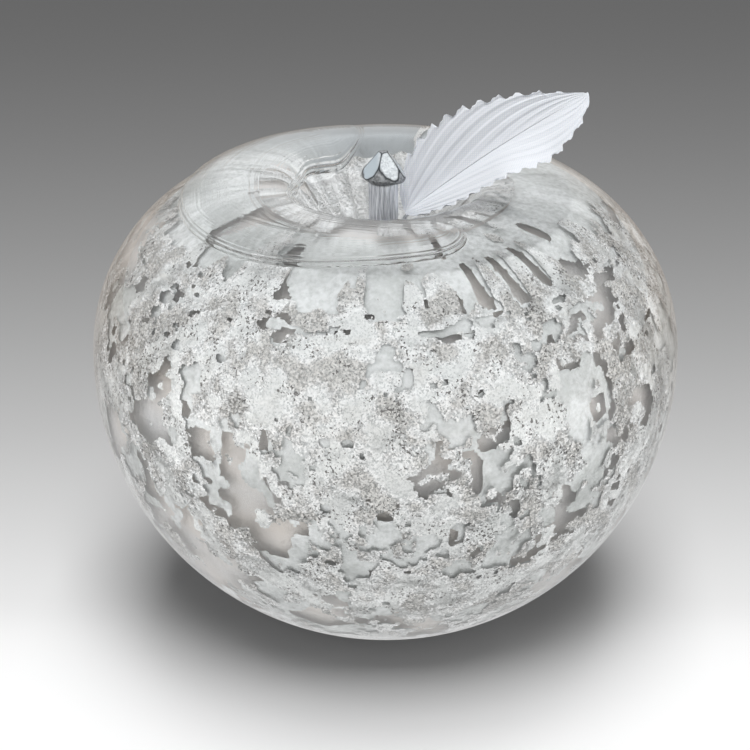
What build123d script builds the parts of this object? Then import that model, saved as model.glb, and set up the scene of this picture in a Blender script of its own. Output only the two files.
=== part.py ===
"""Art glass apple: a clear crystal body with silver foil under its skin, a cast stem and a fabric leaf."""

from build123d import *
import math
import os

os.makedirs("parts", exist_ok=True)

# Glass body, profile turned about the Z axis; the crest is the highest ring, round the dimple
body_radius = 49.4
foot_radius = 16.0
crest_rise = 31.45
crest_radius = 19.0
crown_band_angles = (40.0, 49.5, 59.0, 68.0)
crest_round = 4.5
crest_outer_angle = 79.0
crest_inner_angle = 165.0
dimple_floor_radius = 9.0
dimple_depth = 10.6
dimple_floor_fall = 2.2
socket_radius = 2.7
socket_depth = 5.0

# Inner gather and the foil that is rolled onto it
casing_wall = 3.4
foil_gap = 0.35
foil_thickness = 0.15
gather_sides = 16
crown_land = 9.0
dimple_core_depth = 25.7
dimple_core_radius = 5.5
belly_ring_angles = (-66.0, -44.0, -22.0, 0.0)
shoulder_ring_angles = (20.0, 43.0, 66.0)

# Foil flakes, as shares of the facet that each one lies on
flake_points = 6
flake_reach_share = 0.86
flake_ragged_share = 0.16
flake_bare_every = 5

# Swirl wrap, the lobe of clear glass wound round the dimple
wrap_start_angle = 97.0
wrap_turn = 204.0
wrap_start_offset = 5.4
wrap_end_offset = 6.6
wrap_start_half_width = 10.8
wrap_end_half_width = 5.2
wrap_tip_half_width = 1.2
wrap_thickness = 2.0
wrap_tip_thickness = 0.6
wrap_seat_gap = 0.65
wrap_stations = 17
wrap_blunt_power = 5
wrap_seat_shares = (-1.0, -0.72, -0.4, 0.0, 0.5, 1.0)
wrap_top_shares = (0.86, 0.45, -0.3, -0.66, -0.88)

# Cast stem
shank_radius = 2.2
shank_flutes = 8
flute_radius = 0.7
flute_depth = 0.25
shank_foot_gap = 0.4
cap_underside_drop = 2.2
cap_seat_overlap = 0.5
cap_neck_radius = 2.9
cap_rim_radius = 3.9
cap_rim_rise = 1.4
cap_waist_radius = 2.6
cap_waist_rise = 2.6
cap_top_radius = 0.95
cap_top_rise = 2.5
cap_facets = 5
cap_turn = 39.0

# Socket adhesive
glue_clearance = 0.05
glue_rise = 1.3

# Fabric leaf, laid over the rim on the right of the stem
leaf_length = 36.4
leaf_rise_angle = 35.3
leaf_root_reach = 3.4
leaf_root_side = 0.8
leaf_root_drop = 7.0
leaf_arch = 0.6
leaf_thickness = 0.3
leaf_root_half_width = 0.9
leaf_tip_half_width = 0.3
leaf_back_half_width = 10.0
leaf_back_powers = (0.53, 0.95)
leaf_back_angle = 32.0
leaf_front_half_width = 8.0
leaf_front_powers = (0.62, 0.42)
leaf_front_root_angle = 94.0
leaf_front_tip_angle = 54.0
leaf_turn_shares = (0.42, 0.76)
leaf_pleat_height = 0.4
leaf_pleat_shares = (1.0, 0.68, 0.34)
leaf_tooth_share = 0.09
leaf_stations = 22

# Leaf wire, glued under the midrib
wire_radius = 0.35
wire_sides = 6
wire_seat_gap = 0.1
wire_foot_depth = 0.7
wire_run_shares = (-0.02, 0.3, 0.6)
wire_bend_radii = (1.6, 24.0)

# The shoulder arc is tangent to the belly sphere, and level over the middle of the crest
belly_height = math.sqrt(body_radius**2 - foot_radius**2)
crest_height = belly_height + crest_rise
shoulder_radius = (body_radius**2 - crest_radius**2 - crest_rise**2) / (2 * (body_radius - crest_rise))
belly_end_angle = math.degrees(math.atan2(crest_rise - shoulder_radius, crest_radius))
belly_centre = (0, belly_height)
shoulder_centre = (crest_radius, crest_height - shoulder_radius)
crest_centre = (crest_radius, crest_height - crest_round)
foot_angle = -math.degrees(math.asin(belly_height / body_radius))

# Heights of the dimple, and of what stands in it
dimple_floor_height = crest_height - dimple_depth
socket_top = dimple_floor_height - dimple_floor_fall
dimple_core_floor = crest_height - dimple_core_depth
glue_top = socket_top + glue_rise
cap_underside_height = crest_height - cap_underside_drop
cap_rim_height = cap_underside_height + cap_rim_rise
cap_waist_height = cap_rim_height + cap_waist_rise
leaf_root = (leaf_root_reach, leaf_root_side, crest_height - leaf_root_drop)


def on_arc(centre, radius, angle):
    """The point of the half profile at this angle above the horizontal."""
    turn = math.radians(angle)
    return (centre[0] + radius * math.cos(turn), centre[1] + radius * math.sin(turn))


def skin_height(radius):
    """Height of the glass skin over this distance from the axis, from the shoulder to the dimple's floor."""
    shoulder_end = on_arc(shoulder_centre, shoulder_radius, crown_band_angles[-1])
    crest_start = on_arc(crest_centre, crest_round, crest_outer_angle)
    if radius > shoulder_end[0]:
        return shoulder_centre[1] + math.sqrt(shoulder_radius**2 - (radius - shoulder_centre[0]) ** 2)
    if radius > crest_start[0]:
        share = (radius - crest_start[0]) / (shoulder_end[0] - crest_start[0])
        return crest_start[1] + share * (shoulder_end[1] - crest_start[1])
    crest_end = on_arc(crest_centre, crest_round, crest_inner_angle)
    if radius > crest_end[0]:
        return crest_centre[1] + math.sqrt(crest_round**2 - (radius - crest_centre[0]) ** 2)
    share = (radius - dimple_floor_radius) / (crest_end[0] - dimple_floor_radius)
    return dimple_floor_height + share * (crest_end[1] - dimple_floor_height)


# The gather is a ball marvered into flat facets, so that leaf lies flat on it
def facet_profile(depth):
    """Distances from the axis and heights of the facets' edges, base to crown, this deep under the skin."""
    edges = [on_arc(belly_centre, body_radius - depth, angle) for angle in belly_ring_angles]
    edges += [on_arc(shoulder_centre, shoulder_radius - depth, angle) for angle in shoulder_ring_angles]
    return edges


def core_profile(depth):
    """The same for the clear core under the dimple, from its floor up to the crown."""
    gap = depth - casing_wall
    crown = facet_profile(casing_wall)[-1]
    return [
        (dimple_core_radius + gap, dimple_core_floor - gap),
        (crown[0] - crown_land + gap, facet_profile(depth)[-1][1]),
    ]


def facetted(profile):
    """A solid with flat facets all round: what the profile, pushed through from each side in turn, shares."""
    with BuildPart() as ball:
        for side in range(gather_sides // 2):
            with BuildSketch(Plane.XZ.rotated((0, 0, side * 360 / gather_sides))):
                with BuildLine():
                    mirrored = [(-across, height) for across, height in reversed(profile)]
                    Polyline(*profile, *mirrored, close=True)
                make_face()
            extrude(amount=body_radius, both=True, mode=Mode.INTERSECT if side else Mode.ADD)
    return ball.part


# Inner gather
with BuildPart() as inner_gather:
    add(facetted(facet_profile(casing_wall + foil_gap)))
    add(facetted(core_profile(casing_wall + foil_gap)), mode=Mode.SUBTRACT)
inner_gather.part.label = "inner_gather"
export_step(inner_gather.part, "parts/inner_gather.step")

# Outer casing, the clear glass gathered over the foil, with the dimple and the stem's socket
with BuildPart() as casing_cavity:
    add(facetted(facet_profile(casing_wall)))
    add(facetted(core_profile(casing_wall)), mode=Mode.SUBTRACT)

foot = on_arc(belly_centre, body_radius, foot_angle)
crown_bands = [on_arc(shoulder_centre, shoulder_radius, angle) for angle in crown_band_angles]
crest_start = on_arc(crest_centre, crest_round, crest_outer_angle)
crest_end = on_arc(crest_centre, crest_round, crest_inner_angle)
socket_floor = socket_top - socket_depth
with BuildPart() as outer_casing:
    with BuildSketch(Plane.XZ):
        with BuildLine():
            CenterArc(belly_centre, body_radius, foot_angle, belly_end_angle - foot_angle)
            CenterArc(
                shoulder_centre, shoulder_radius, belly_end_angle, crown_band_angles[0] - belly_end_angle
            )
            Polyline(*crown_bands, crest_start)
            CenterArc(crest_centre, crest_round, crest_outer_angle, crest_inner_angle - crest_outer_angle)
            Polyline(crest_end, (dimple_floor_radius, dimple_floor_height), (socket_radius, socket_top))
            Polyline((socket_radius, socket_top), (socket_radius, socket_floor), (0, socket_floor))
            Polyline((0, socket_floor), (0, 0), foot)
        make_face()
    revolve(axis=Axis.Z)
    add(casing_cavity.part, mode=Mode.SUBTRACT)
outer_casing.part.label = "outer_casing"
export_step(outer_casing.part, "parts/outer_casing.step")


# Silver foil, torn flakes that lie flat on the facets, each band of the gather one group
def torn_outline(half_width, half_height, number):
    """Corners of one torn flake: an oval whose reach falls back unevenly from corner to corner."""
    corners = []
    for corner in range(flake_points):
        turn = 2 * math.pi * corner / flake_points + number
        ragged = 1 - flake_ragged_share * (1 + math.sin(corner * number + corner))
        corners.append((half_width * ragged * math.cos(turn), half_height * ragged * math.sin(turn)))
    return corners


def facet_plane(low, high, facet):
    """Plane in the middle of one facet, its X axis along the ring, and the facet's half width and height."""
    turn = facet * 2 * math.pi / gather_sides
    slope = math.atan2(high[1] - low[1], high[0] - low[0])
    reach = (low[0] + high[0]) / 2
    centre = (reach * math.cos(turn), reach * math.sin(turn), (low[1] + high[1]) / 2)
    outward = (math.sin(slope) * math.cos(turn), math.sin(slope) * math.sin(turn), -math.cos(slope))
    along = (-math.sin(turn), math.cos(turn), 0)
    half_width = min(low[0], high[0]) * math.tan(math.pi / gather_sides)
    half_height = math.hypot(high[0] - low[0], high[1] - low[1]) / 2
    return Plane(origin=centre, x_dir=along, z_dir=outward), half_width, half_height


foil_depth = casing_wall + foil_gap / 2
foil_edges = [*facet_profile(foil_depth), core_profile(foil_depth)[1]]
foil_bands = ["heel", "lower", "belly", "waist", "shoulder", "crest", "crown"]
foil = {}
for band, band_name in enumerate(foil_bands):
    with BuildPart() as flakes:
        for facet in range(gather_sides):
            number = band * gather_sides + facet
            if (facet + band) % flake_bare_every == 0:
                continue
            plane, half_width, half_height = facet_plane(foil_edges[band], foil_edges[band + 1], facet)
            reach = (half_width * flake_reach_share, half_height * flake_reach_share)
            with BuildSketch(plane):
                with BuildLine():
                    Polyline(*torn_outline(*reach, number), close=True)
                make_face()
            extrude(amount=foil_thickness / 2, both=True)
    flakes.part.label = f"silver_foil_{band_name}"
    foil[band_name] = flakes.part
    export_step(flakes.part, f"parts/silver_foil_{band_name}.step")


def skinned(sections):
    """A solid with flat triangles between sections of equal corner counts, closed by a flat face at each end."""
    faces = [Face(Wire.make_polygon(sections[0])), Face(Wire.make_polygon(sections[-1]))]
    for near, far in zip(sections, sections[1:]):
        for corner in range(len(near)):
            following = (corner + 1) % len(near)
            faces.append(Face(Wire.make_polygon([near[corner], near[following], far[corner]])))
            faces.append(Face(Wire.make_polygon([near[following], far[following], far[corner]])))
    return Solid(Shell(faces))


# Swirl wrap: sections that stand across the lobe, each seated just over the glass skin
def wrap_section(station):
    """Corners of the section at this station, round from the seat over the lobe's crown."""
    share = station / (wrap_stations - 1)
    turn = math.radians(wrap_start_angle + wrap_turn * share)
    middle = crest_radius + wrap_start_offset + (wrap_end_offset - wrap_start_offset) * share
    fullness = math.sqrt(1 - abs(2 * share - 1) ** wrap_blunt_power)
    full_width = wrap_start_half_width + (wrap_end_half_width - wrap_start_half_width) * share
    half_width = wrap_tip_half_width + (full_width - wrap_tip_half_width) * fullness
    thickness = wrap_tip_thickness + (wrap_thickness - wrap_tip_thickness) * fullness
    corners = []
    for shares, lift in ((wrap_seat_shares, 0), (wrap_top_shares, thickness)):
        for across in shares:
            radius = middle + half_width * across
            height = skin_height(radius) + wrap_seat_gap + lift
            corners.append((radius * math.cos(turn), radius * math.sin(turn), height))
    return corners


with BuildPart() as swirl_wrap:
    add(skinned([wrap_section(station) for station in range(wrap_stations)]))
swirl_wrap.part.label = "swirl_wrap"
export_step(swirl_wrap.part, "parts/swirl_wrap.step")

# Cast stem: a fluted shank with a flared, facetted cap like a cut twig
shank_foot = socket_floor + shank_foot_gap
with BuildPart() as cast_stem:
    with BuildSketch(Plane.XY.offset(shank_foot)):
        Circle(shank_radius)
        with PolarLocations(shank_radius + flute_radius - flute_depth, shank_flutes):
            Circle(flute_radius, mode=Mode.SUBTRACT)
    extrude(amount=cap_underside_height + cap_seat_overlap - shank_foot)
    for low_height, rise, low_radius, high_radius in (
        (cap_underside_height, cap_rim_rise, cap_neck_radius, cap_rim_radius),
        (cap_rim_height, cap_waist_rise, cap_rim_radius, cap_waist_radius),
        (cap_waist_height, cap_top_rise, cap_waist_radius, cap_top_radius),
    ):
        with BuildSketch(Plane.XY.offset(low_height)):
            RegularPolygon(low_radius, cap_facets, rotation=cap_turn)
        flat_fall = (low_radius - high_radius) * math.cos(math.pi / cap_facets)
        extrude(amount=rise, taper=math.degrees(math.atan2(flat_fall, rise)))
cast_stem.part.label = "cast_stem"
export_step(cast_stem.part, "parts/cast_stem.step")


# Fabric leaf: pleated sections that stand across the midrib, saw-toothed along both edges
def edge_width(share, half_width, powers, least):
    """Half width of one side of the leaf at this share of its length."""
    rise, fall = powers
    peak = rise / (rise + fall)
    fullness = (share / peak) ** rise * ((1 - share) / (1 - peak)) ** fall
    return max(least, half_width * fullness)


def midrib_point(share):
    """Where the leaf's midrib is at this share of its length."""
    rise = math.radians(leaf_rise_angle)
    along = leaf_length * share
    arch = leaf_arch * math.sin(math.pi * share)
    return Vector(
        leaf_root[0] + along * math.cos(rise) - arch * math.sin(rise),
        leaf_root[1],
        leaf_root[2] + along * math.sin(rise) + arch * math.cos(rise),
    )


def across_leaf(angle):
    """Unit direction across the leaf, turned this far from upright towards the back."""
    rise = math.radians(leaf_rise_angle)
    turn = math.radians(angle)
    return Vector(-math.sin(rise) * math.cos(turn), math.sin(turn), math.cos(rise) * math.cos(turn))


def leaf_section(station):
    """Corners of one cross-section: its face from the back edge to the front edge, then its underside."""
    share = station / (leaf_stations - 1)
    least = leaf_root_half_width + (leaf_tip_half_width - leaf_root_half_width) * share
    tooth = 1 + leaf_tooth_share * (1 if station % 2 else -1)
    turned = (share - leaf_turn_shares[0]) / (leaf_turn_shares[1] - leaf_turn_shares[0])
    lay = min(1, max(0, turned))
    front_angle = leaf_front_root_angle + (leaf_front_tip_angle - leaf_front_root_angle) * lay
    sides = [
        (edge_width(share, leaf_back_half_width, leaf_back_powers, least), leaf_back_angle, 1),
        (edge_width(share, leaf_front_half_width, leaf_front_powers, least), front_angle, -1),
    ]
    halves = []
    for half_width, angle, side in sides:
        out = across_leaf(angle) * side
        lift = across_leaf(angle - 90)
        half = []
        for pleat, reach in enumerate(leaf_pleat_shares):
            width = half_width * reach * (tooth if reach == 1 else 1)
            height = leaf_pleat_height * (half_width / leaf_back_half_width) * (pleat % 2)
            half.append(midrib_point(share) + out * width + lift * height)
        halves.append(half)
    face = [*halves[0], midrib_point(share), *reversed(halves[1])]
    facing = across_leaf((leaf_back_angle + leaf_front_tip_angle) / 2 - 90)
    under = [corner - facing * leaf_thickness for corner in reversed(face)]
    return [*face, *under]


with BuildPart() as leaf_blade:
    add(skinned([leaf_section(station) for station in range(leaf_stations)]))
leaf_blade.part.label = "leaf_blade"
export_step(leaf_blade.part, "parts/leaf_blade.step")


# Leaf wire: up out of the adhesive, then along the underside of the midrib
facing = across_leaf((leaf_back_angle + leaf_front_tip_angle) / 2 - 90)
wire_drop = leaf_thickness + wire_seat_gap + wire_radius
run = [midrib_point(share) - facing * wire_drop for share in wire_run_shares]
wire_foot = Vector(run[0].X, run[0].Y, glue_top - wire_foot_depth)
with BuildPart() as leaf_wire:
    with BuildLine() as wire_path:
        FilletPolyline(wire_foot, *run, radius=list(wire_bend_radii))
    with BuildSketch(Plane(origin=wire_foot, z_dir=(0, 0, 1))):
        RegularPolygon(wire_radius, wire_sides)
    sweep()
leaf_wire.part.label = "leaf_wire"
export_step(leaf_wire.part, "parts/leaf_wire.step")

# Socket adhesive: a clear sleeve round the shank and a puddle in the floor of the dimple
floor_slope = (dimple_floor_height - socket_top) / (dimple_floor_radius - socket_radius)
sleeve_outer = socket_radius - glue_clearance
sleeve_inner = shank_radius + glue_clearance
puddle_low = socket_top + glue_clearance
puddle_radius = sleeve_outer + (glue_top - puddle_low) / floor_slope
with BuildPart() as socket_adhesive:
    with BuildSketch(Plane.XZ):
        with BuildLine():
            Polyline(
                (sleeve_inner, shank_foot),
                (sleeve_outer, shank_foot),
                (sleeve_outer, puddle_low),
                (puddle_radius, glue_top),
                (sleeve_inner, glue_top),
                close=True,
            )
        make_face()
    revolve(axis=Axis.Z)
    with BuildSketch(Plane(origin=wire_foot, z_dir=(0, 0, 1))):
        Circle(wire_radius + glue_clearance)
    extrude(amount=wire_foot_depth, mode=Mode.SUBTRACT)
socket_adhesive.part.label = "socket_adhesive"
export_step(socket_adhesive.part, "parts/socket_adhesive.step")
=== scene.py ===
"""Looks of the art glass apple: clear crystal over silver foil, a cast stem and a pale satin leaf."""

import math

import bpy
import numpy as np
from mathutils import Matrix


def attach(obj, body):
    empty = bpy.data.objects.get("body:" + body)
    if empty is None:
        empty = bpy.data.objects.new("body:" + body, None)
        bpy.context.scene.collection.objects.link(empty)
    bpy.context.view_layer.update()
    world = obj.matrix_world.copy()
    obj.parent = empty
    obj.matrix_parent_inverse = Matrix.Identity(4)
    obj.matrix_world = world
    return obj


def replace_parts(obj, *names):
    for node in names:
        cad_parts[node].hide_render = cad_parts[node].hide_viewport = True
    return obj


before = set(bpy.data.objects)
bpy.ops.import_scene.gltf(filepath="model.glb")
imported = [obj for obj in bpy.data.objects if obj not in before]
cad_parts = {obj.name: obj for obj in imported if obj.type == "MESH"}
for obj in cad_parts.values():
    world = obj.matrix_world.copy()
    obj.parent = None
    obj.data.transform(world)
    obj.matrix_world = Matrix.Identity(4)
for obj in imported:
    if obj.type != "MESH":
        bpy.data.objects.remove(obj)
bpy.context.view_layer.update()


# Clear glass: the gather, the casing over it and the swirl laid round the dimple, fused hot into one mass
# of lead crystal. It is fire-polished, so it is perfectly smooth; only its foot is ground flat. Lengths in
# this file are in millimetres and profile angles in degrees above the horizontal, unless a comment says else.
MM = 0.001
# The body's profile, as in the CAD: the belly's sphere, the shoulder's arc, the foot and the crest's round, the
# dimple's wall as distances from the axis with heights, and the stem's socket
BELLY_RADIUS, BELLY_HEIGHT = 49.4, 46.737
SHOULDER_CENTRE, SHOULDER_RADIUS = (19.0, 47.818), 30.369
FOOT_ANGLE, BELLY_END_ANGLE, FOOT_RADIUS = -71.1, 3.256, 16.0
CREST_CENTRE, CREST_ROUND = (19.0, 73.687), 4.5
DIMPLE_WALL = ((14.3, 74.2), (12.2, 71.1), (9.8, 68.5), (7.0, 66.8), (4.3, 65.8), (2.75, 65.42))
SOCKET_RADIUS, SOCKET_TOP, SOCKET_MIDDLE, SOCKET_FLOOR = 2.7, 65.1, 63.0, 60.387
# The foot's edge is eased by this much, in millimetres across it and in degrees up the belly
FOOT_EASE = 0.4
# The shoulder arc's angle where the finer grid of the crown begins, and the share of that grid in which the
# relief fades in
CROWN_ANGLE, RELIEF_FADE = 24, 0.06
# Where the crest's round passes into the dimple's wall, in degrees; the grid's columns, and its rows on the
# belly, the shoulder and the crown, whose corners are eased over CROWN_EASE of CROWN_POINTS points
CREST_END_ANGLE = 152
GLASS_COLUMNS, BELLY_ROWS, SHOULDER_ROWS, CROWN_ROWS = 400, 46, 14, 182
CROWN_POINTS, CROWN_EASE = 420, 6
# A profile never quite reaches the axis, so that its last ring can be closed with a fan
NEAR_AXIS = 0.02


def linear(hex_colour):
    """sRGB hex to the linear colour that a socket takes, by the standard curve, channel by channel."""
    channels = [int(hex_colour[i : i + 2], 16) / 255 for i in (1, 3, 5)]
    return (*[c / 12.92 if c <= 0.04045 else ((c + 0.055) / 1.055) ** 2.4 for c in channels], 1.0)


def node(tree, kind, inputs=None, **settings):
    """Adds a node with these settings; each input is a value, or the output socket that feeds it."""
    made = tree.nodes.new(kind)
    for name, value in settings.items():
        setattr(made, name, value)
    for key, value in (inputs or {}).items():
        if isinstance(value, bpy.types.NodeSocket):
            tree.links.new(value, made.inputs[key])
        else:
            made.inputs[key].default_value = value
    return made


def mixed(tree, share, none, full, **settings):
    """The output of a Mix node: at share 0 the colour none, at share 1 the colour full. Set to colours, its
    factor is input 0, its colours are inputs 6 and 7, and its result is output 2."""
    return node(tree, "ShaderNodeMix", {0: share, 6: none, 7: full}, data_type="RGBA", **settings).outputs[2]


def noise(tree, coords, size, detail):
    """Smooth noise at these coordinates: lumps of about this many millimetres, and this many finer octaves."""
    return node(tree, "ShaderNodeTexNoise", {
        "Vector": coords, "Scale": 1 / (size * MM), "Detail": detail}).outputs["Fac"]


def ranged(tree, value, start, end, low=0, high=1):
    """A value that goes from low to high as this one goes from start to end, and stays within them."""
    return node(tree, "ShaderNodeMapRange", {
        "Value": value, "From Min": start, "From Max": end, "To Min": low, "To Max": high}).outputs[0]


def fill_curve(curve_node, points):
    """Puts these points on a Float Curve node's curve, the first two in place of the two that it has."""
    curve = curve_node.mapping.curves[0]
    for number, point in enumerate(points):
        if number < 2:
            curve.points[number].location = point
        else:
            curve.points.new(*point)
    curve_node.mapping.update()
    return curve


def new_material(name):
    """An empty node material, its tree, and its output node."""
    material = bpy.data.materials.new(name)
    material.use_nodes = True
    material.node_tree.nodes.clear()
    return material, material.node_tree, node(material.node_tree, "ShaderNodeOutputMaterial")


def mesh_piece(name, points, faces, material):
    """A smooth-shaded mesh of these points in millimetres and these arrays of faces, each array of one corner
    count. It rides on the part's one body."""
    mesh = bpy.data.meshes.new(name)
    mesh.vertices.add(len(points))
    mesh.vertices.foreach_set("co", (np.asarray(points) * MM).astype(np.float32).ravel())
    faces = [np.asarray(group, np.int32) for group in faces if len(group)]
    corners = np.concatenate([group.ravel() for group in faces])
    counts = np.concatenate([np.full(len(group), group.shape[1]) for group in faces])
    mesh.loops.add(len(corners))
    mesh.loops.foreach_set("vertex_index", corners)
    mesh.polygons.add(len(counts))
    mesh.polygons.foreach_set("loop_start", (np.cumsum(counts) - counts).astype(np.int32))
    mesh.update(calc_edges=True)
    mesh.polygons.foreach_set("use_smooth", np.ones(len(counts), bool))
    mesh.materials.append(material)
    piece = bpy.data.objects.new(name, mesh)
    bpy.context.scene.collection.objects.link(piece)
    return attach(piece, "root")


def point_attribute(piece, name, values):
    """One number on each of the mesh's points, for the material to read."""
    made = piece.data.attributes.new(name, "FLOAT", "POINT")
    made.data.foreach_set("value", np.asarray(values, np.float32).ravel())


def grid_faces(rows, columns, closed=True):
    """Quads of a grid whose rows run round the axis: corner, next round, the same one row on, and back."""
    across = columns if closed else columns - 1
    row, column = np.meshgrid(np.arange(rows - 1), np.arange(across), indexing="ij")
    near, far = row * columns, (row + 1) * columns
    following = (column + 1) % columns
    return np.stack([near + column, near + following, far + following, far + column], -1).reshape(-1, 4)


def end_fans(rows, columns):
    """Triangles that close both ends of a turned grid, to its last two points: the foot's, then the top's."""
    around = np.arange(columns)
    last = (rows - 1) * columns + around
    return [np.stack([np.full(columns, rows * columns), np.roll(around, -1), around], -1),
            np.stack([np.full(columns, rows * columns + 1), last, np.roll(last, -1)], -1)]


def turned(radius, height, turn):
    """Points of a surface turned about the axis: radius times the cosine and sine of the turn, and height."""
    return np.stack([radius * np.cos(turn), radius * np.sin(turn), height + 0 * turn], -1).reshape(-1, 3)


def arc(centre, radius, start, end, count):
    """Points of the half profile on an arc: centre plus radius times the cosine and sine of the angle."""
    turn = np.radians(np.linspace(start, end, count))
    return np.stack([centre[0] + radius * np.cos(turn), centre[1] + radius * np.sin(turn)], -1)


def evenly(profile, count):
    """The profile again as this many points, equally far apart along its length."""
    steps = np.hypot(*np.diff(profile, axis=0).T)
    length = np.concatenate([[0], np.cumsum(steps)])
    wanted = np.linspace(0, length[-1], count)
    return np.stack([np.interp(wanted, length, profile[:, i]) for i in (0, 1)], -1)


def rounded(profile, reach):
    """The profile with its corners eased: a bell-shaped running mean over this many points, ends held."""
    bell = np.exp(-0.5 * (np.arange(-3 * reach, 3 * reach + 1) / reach) ** 2)
    padded = np.concatenate([2 * profile[:1] - profile[3 * reach : 0 : -1], profile,
                             2 * profile[-1:] - profile[-2 : -3 * reach - 2 : -1]])
    return np.stack([np.convolve(padded[:, i], bell / bell.sum(), "valid") for i in (0, 1)], -1)


# The noise repeats after this many cells, and is read this many cells away from the origin
LATTICE_CELLS, LATTICE_SHIFT = 64, 500


def lattice(points, size, seed):
    """Smooth noise from 0 to 1: random values on a cubic lattice of this size, blended with 3t^2 - 2t^3."""
    random = np.random.default_rng(seed).random((LATTICE_CELLS, LATTICE_CELLS, LATTICE_CELLS))
    place = np.asarray(points) / size + LATTICE_SHIFT
    low = np.floor(place).astype(int)
    t = place - low
    t = t * t * (3 - 2 * t)
    total = 0
    for x in (0, 1):
        for y in (0, 1):
            for z in (0, 1):
                share = abs(1 - x - t[..., 0]) * abs(1 - y - t[..., 1]) * abs(1 - z - t[..., 2])
                cell = (low + (x, y, z)) % LATTICE_CELLS
                total = total + share * random[cell[..., 0], cell[..., 1], cell[..., 2]]
    return total


# The swirl's outline from above: its inner and outer edge, as distances from the axis at these angles
SWIRL_INNER = ((97, 25.5), (99, 21.0), (102, 17.8), (108, 15.9), (115, 14.8), (122, 14.4), (134, 14.6),
               (148, 15.0), (160, 14.7), (173, 14.5), (190, 15.2), (205, 16.8), (215, 17.9), (228, 18.8),
               (245, 19.3), (260, 19.4), (277, 19.6), (290, 20.7), (296, 22.2), (300, 23.8), (302, 25.4))
SWIRL_OUTER = ((97, 25.5), (101, 30.5), (106, 33.0), (113, 34.2), (122, 34.6), (150, 34.6), (178, 34.5),
               (190, 34.2), (208, 34.1), (230, 33.7), (246, 32.5), (260, 31.2), (274, 30.4), (285, 30.0),
               (291, 29.5), (296, 28.4), (300, 26.9), (302, 25.4))
# Points along each edge, and the spread and reach in points of the bell that eases the outline
OUTLINE_STEPS, OUTLINE_EASE, OUTLINE_REACH = 130, 2.2, 6
# The swirl's height, the width of its rounded edge, and the depth and reach of the hollow beside it
SWIRL_RISE, SWIRL_EDGE, SWIRL_SINK, SINK_REACH = 1.1, 1.8, 0.5, 4.0
# Where the swirl starts, the turn in which it swells to its full height, and its least share of it
SWIRL_START, SWIRL_SWELL, SWIRL_LEAST = 96, 34, 0.12
# Folds of the dimple's wall: how many, how deep, and how much they twist; a second set that doesn't twist, with
# its count, share of the depth and start; the radii and widths over which the folds fade in and out
FOLD_COUNT, FOLD_DEPTH, FOLD_TWIST = 27, 0.10, 3.2
STRAIGHT_FOLDS, STRAIGHT_SHARE, STRAIGHT_START = 18, 0.5, 1.3
FOLDS_FROM, FOLDS_FADE_IN, FOLDS_TO, FOLDS_FADE_OUT = 3.6, 3, 19.5, 5


def swirl_distance(x, y):
    """Distance in mm from the swirl's outline, positive inside it: to the nearest of the outline's segments."""
    angles = np.linspace(SWIRL_INNER[0][0], SWIRL_INNER[-1][0], OUTLINE_STEPS)
    inner, outer = [np.interp(angles, *np.transpose(edge)) for edge in (SWIRL_INNER, SWIRL_OUTER)]
    angles = np.radians(angles)
    loop_radius = np.concatenate([outer, inner[-2:0:-1]])
    loop_angle = np.concatenate([angles, angles[-2:0:-1]])
    loop = np.stack([loop_radius * np.cos(loop_angle), loop_radius * np.sin(loop_angle)], -1)
    bell = np.exp(-0.5 * (np.arange(-OUTLINE_REACH, OUTLINE_REACH + 1) / OUTLINE_EASE) ** 2)
    wrapped = np.concatenate([loop[-OUTLINE_REACH:], loop, loop[:OUTLINE_REACH]])
    loop = np.stack([np.convolve(wrapped[:, i], bell / bell.sum(), "valid") for i in (0, 1)], -1)
    nearest = np.full(x.shape, 1e9)
    inside = np.zeros(x.shape, bool)
    for (ax, ay), (bx, by) in zip(loop, np.roll(loop, -1, 0)):
        length = (bx - ax) ** 2 + (by - ay) ** 2
        share = np.clip(((x - ax) * (bx - ax) + (y - ay) * (by - ay)) / length, 0, 1)
        nearest = np.minimum(nearest, np.hypot(x - ax - share * (bx - ax), y - ay - share * (by - ay)))
        if ay != by:
            crosses = (ay > y) != (by > y)
            inside ^= crosses & (x < ax + (y - ay) * (bx - ax) / (by - ay))
    return np.where(inside, nearest, -nearest)


def glass_relief(x, y, inward, radius, turn):
    """How far the skin stands proud of the turned profile: the swirl rises as a quarter round from a slight
    hollow beside it, lower where it starts; the dimple's wall has twisted folds, cosines round the axis."""
    roll = np.sqrt(1 - (1 - np.clip(inward / SWIRL_EDGE, 0, 1)) ** 2)
    hollow = np.exp(-np.clip(-inward, 0, None) / SINK_REACH)
    wound = np.degrees(np.arctan2(y, x)) % 360 - SWIRL_START
    swirl = (SWIRL_RISE * roll - SWIRL_SINK * hollow) * np.clip(wound / SWIRL_SWELL, SWIRL_LEAST, 1)
    window = (np.clip((radius - FOLDS_FROM) / FOLDS_FADE_IN, 0, 1)
              * np.clip((FOLDS_TO - radius) / FOLDS_FADE_OUT, 0, 1))
    folds = np.cos(FOLD_COUNT * (turn + FOLD_TWIST * radius / 100))
    folds = folds + STRAIGHT_SHARE * np.cos(STRAIGHT_FOLDS * turn + STRAIGHT_START)
    return swirl + FOLD_DEPTH * folds * window


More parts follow.
